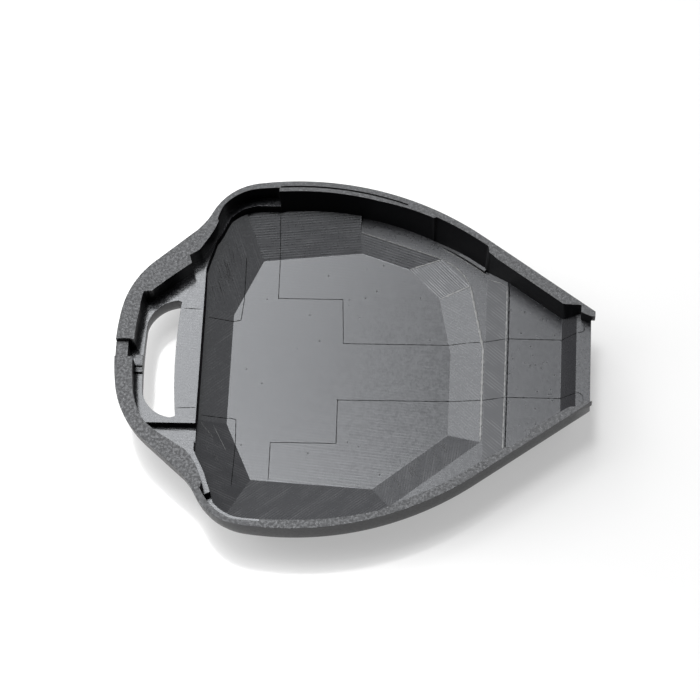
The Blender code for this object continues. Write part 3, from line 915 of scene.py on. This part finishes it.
@dataclass(frozen=True)
class Brushing:
    """A patch of short scratches side by side, such as a cutter or a brush leaves.

    Places, widths and spreads are in millimetres. Every scratch starts near the line from
    start to stop and runs along the reach. The shares are the least and the most of the
    reach and of the width that one may have, and the spreads say how far its start and its
    end stray.
    """

    start: Span
    stop: Span
    reach: Span
    count: int
    width: float = 0.05
    spread: float = 0.35
    end_spread: float = 0.08
    reach_shares: Span = (0.35, 1.0)
    width_shares: Span = (0.6, 1.3)

    def lines(self, chance: np.random.Generator) -> tuple[Line, ...]:
        """Lays out the scratches.

        A scratch's start is the patch's start, plus a share of the way to its stop, plus a
        stray. Its end is that start, plus a share of the reach, plus a stray.

        Args:
            chance: Where the random numbers come from.

        Returns:
            The scratches as lines.
        """
        shares = np.sort(chance.uniform(0.0, 1.0, self.count))[:, None]
        starts = np.array(self.start) + shares * (np.array(self.stop) - np.array(self.start))
        starts = starts + chance.normal(0.0, self.spread, (self.count, 2))
        ends = starts + np.array(self.reach) * chance.uniform(*self.reach_shares, (self.count, 1))
        ends = ends + chance.normal(0.0, self.end_spread, (self.count, 2))
        widths = self.width * chance.uniform(*self.width_shares, self.count)
        rows = zip(starts.tolist(), ends.tolist(), widths.tolist())
        return tuple(Line((tuple(near), tuple(far)), width=width) for near, far, width in rows)


BRUSHINGS = (
    Brushing((-17.9, 10.6), (-15.9, 16.0), (1.1, -3.2), 26),
    Brushing((-17.8, -7.6), (-16.6, -11.6), (1.8, -3.0), 9),
    Brushing((3.8, -14.3), (11.2, -8.7), (0.9, -1.7), 14, width=0.09),
)


def brushed_lines(seed: int = 11) -> tuple[Line, ...]:
    """Returns the scratches of all the brushed patches."""
    chance = np.random.default_rng(seed)
    return tuple(line for patch in BRUSHINGS for line in patch.lines(chance))


LINE_WORK = (
    LineWork(
        "witness_lines",
        Finish("seam_plastic", (0.003, 0.003, 0.003), roughness=0.6, gloss=0.1),
        WITNESS_LINES + LADDER,
    ),
    # Painted highlights: pale beads along ridges and edges, much lighter than the plastic round them
    LineWork(
        "painted_ridge_highlights",
        Finish("ridge_highlight_plastic", (0.17, 0.17, 0.168), roughness=0.5, fleck_share=0.7),
        PAINTED_RIDGE_HIGHLIGHTS,
        height=0.00002,
    ),
    LineWork(
        "brushed_scratches",
        Finish("brushed_plastic", (0.06, 0.06, 0.062), roughness=0.4),
        brushed_lines(),
        height=0.000002,
    ),
)


@dataclass
class PhotoCamera:
    """The camera at the photograph's viewing angle, found from the case's own proportions.

    The focal length is in pixels of a square frame of frame_pixels, and the sensor's width
    in millimetres.
    """

    elevation: float = math.radians(65.5)
    yaw: float = math.radians(10.5)
    roll: float = math.radians(-8.609)
    target: tuple[float, float, float] = (-0.000471, 0.000436, 0.007231)
    distance: float = 0.358267
    focal_pixels: float = 3019.6
    frame_pixels: float = 700.0
    sensor: float = 36.0
    clip: Span = (0.01, 20.0)

    def build(self) -> bpy.types.Object:
        """Makes the camera.

        The three axes of the camera come from its elevation and yaw, and the first two
        are then turned about the third by the roll.

        Returns:
            The camera, which is also the scene's.
        """
        back = Vector(
            (
                math.sin(self.yaw) * math.cos(self.elevation),
                -math.cos(self.yaw) * math.cos(self.elevation),
                math.sin(self.elevation),
            )
        )
        level = Vector((math.cos(self.yaw), math.sin(self.yaw), 0.0))
        up = back.cross(level)
        right = level * math.cos(self.roll) + up * math.sin(self.roll)
        top = up * math.cos(self.roll) - level * math.sin(self.roll)
        turn = Matrix((right, top, back)).transposed()
        lens = bpy.data.cameras.new("photo_camera")
        lens.sensor_width = self.sensor
        lens.lens = self.focal_pixels / self.frame_pixels * self.sensor
        lens.clip_start, lens.clip_end = self.clip
        camera = bpy.data.objects.new("photo_camera", lens)
        bpy.context.scene.collection.objects.link(camera)
        place = Vector(self.target) + back * self.distance
        camera.matrix_world = Matrix.Translation(place) @ turn.to_4x4()
        bpy.context.scene.camera = camera
        return camera


@dataclass(frozen=True)
class LightPanel:
    """One soft square panel of light far away: the way to it, its brightness and its size.

    The way is given by how far it leans to +X and to +Y. Sizes are tangents of angles,
    measured across and up from the panel's middle.
    """

    lean: Span
    brightness: float
    half_size: float = 0.09
    softness: float = 0.07

    def forward(self) -> Vector:
        """Returns the direction from the cover to the panel."""
        x, y = self.lean
        return Vector((x, y, math.sqrt(1.0 - x * x - y * y)))


@dataclass
class Studio:
    """The white table and the light of the room round it."""

    table_size: float = 1.6
    table_drop: float = 0.00002
    table_colour: float = 0.40
    table_glow: float = 0.42
    table_roughness: float = 0.12
    least_depth: float = 0.001
    panels: tuple[LightPanel, ...] = (
        LightPanel((-0.12, 0.22), 33.0),
        LightPanel((-0.12, 0.52), 11.0),
        LightPanel((-0.20, 0.42), 9.0),
        LightPanel((-0.32, 0.22), 5.0),
        LightPanel((-0.38, 0.40), 10.0),
        LightPanel((-0.20, 0.10), 10.0),
        LightPanel((0.0, 0.75), 3.2, 0.15, 0.10),
        LightPanel((0.42, 0.42), 2.0, 0.15, 0.10),
        LightPanel((0.45, 0.12), 2.4, 0.15, 0.10),
        LightPanel((0.50, 0.75), 1.6, 0.25, 0.20),
        LightPanel((-0.50, 0.70), 4.7, 0.20, 0.15),
        LightPanel((-0.55, 0.05), 1.7, 0.20, 0.15),
        LightPanel((-0.80, 0.20), 6.4, 0.30, 0.30),
    )

    def build(self) -> None:
        """Makes the table and the lights."""
        self.build_table()
        self.build_room()

    def build_table(self) -> None:
        """Makes the table: a plain pale sheet, slightly glossy, a hair under the rest face."""
        half, top = self.table_size / 2, -self.table_drop
        corners = [(-half, -half, top), (half, -half, top), (half, half, top), (-half, half, top)]
        mesh = bpy.data.meshes.new("table")
        mesh.from_pydata(corners, [], [(0, 1, 2, 3)])
        table = bpy.data.objects.new("table", mesh)
        bpy.context.scene.collection.objects.link(table)
        material = bpy.data.materials.new("white_table")
        material.use_nodes = True
        shader = material.node_tree.nodes["Principled BSDF"]
        shade = self.table_colour
        shader.inputs["Base Color"].default_value = (shade, shade, shade, 1.0)
        shader.inputs["Roughness"].default_value = self.table_roughness
        shader.inputs["Emission Color"].default_value = WHITE
        shader.inputs["Emission Strength"].default_value = self.table_glow
        mesh.materials.append(material)

    def panel_light(self, sheet: NodeSheet, way: Socket, panel: LightPanel) -> Socket:
        """Lays out the brightness that one panel adds in every direction.

        Args:
            sheet: The room's nodes.
            way: The direction looked in.
            panel: The panel.

        Returns:
            Its brightness there: full inside the half size less the softness, and fading to
            nothing at the half size plus the softness, in front of the panel only.
        """
        forward = panel.forward()
        across = forward.cross(Vector((0.0, 0.0, 1.0))).normalized()
        upward = across.cross(forward)
        shares = []
        for axis in (forward, across, upward):
            dot = sheet.add("ShaderNodeVectorMath", operation="DOT_PRODUCT")
            sheet.feed(dot, 0, way)
            sheet.feed(dot, 1, tuple(axis))
            shares.append(dot.outputs["Value"])
        depth = sheet.maths("MAXIMUM", shares[0], self.least_depth)
        light = sheet.maths("GREATER_THAN", shares[0], 0.0)
        fade = (panel.half_size + panel.softness, panel.half_size - panel.softness)
        for share in shares[1:]:
            tangent = sheet.maths("ABSOLUTE", sheet.maths("DIVIDE", share, depth))
            light = sheet.maths("MULTIPLY", light, sheet.ramp(tangent, fade))
        return sheet.maths("MULTIPLY", light, panel.brightness)

    def build_room(self) -> None:
        """Lights the scene with the soft panels of a dark room, most of them behind and left.

        The camera itself sees plain white.
        """
        world = bpy.data.worlds.new("room")
        world.use_nodes = True
        sheet = NodeSheet(world.node_tree)
        back = world.node_tree.nodes["Background"]
        way = sheet.add("ShaderNodeTexCoord").outputs["Generated"]
        light = 0.0
        for panel in self.panels:
            light = sheet.maths("ADD", light, self.panel_light(sheet, way, panel))
        seen = sheet.add("ShaderNodeLightPath").outputs["Is Camera Ray"]
        sheet.feed(back, "Color", WHITE)
        sheet.feed(back, "Strength", sheet.mix(Mixing.NUMBERS, seen, light, 1.0))
        bpy.context.scene.world = world
        bpy.context.scene.view_settings.view_transform = "Standard"


def main() -> None:
    """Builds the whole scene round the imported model."""
    logging.basicConfig(level=logging.INFO, format="%(name)s: %(message)s")
    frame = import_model()
    PhotoCamera().build()
    Studio().build()
    texture = MouldTexture()
    shell = Cover(frame["nodes"][NODE])
    cover = shell.build(texture)
    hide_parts(NODE)
    pieces = [cover]
    pieces += [work.build(shell.ground, texture) for work in LINE_WORK]
    for piece in pieces:
        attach(piece, "root")
        LOG.info("built %s with %d faces", piece.name, len(piece.data.polygons))


if __name__ == "__main__":
    main()
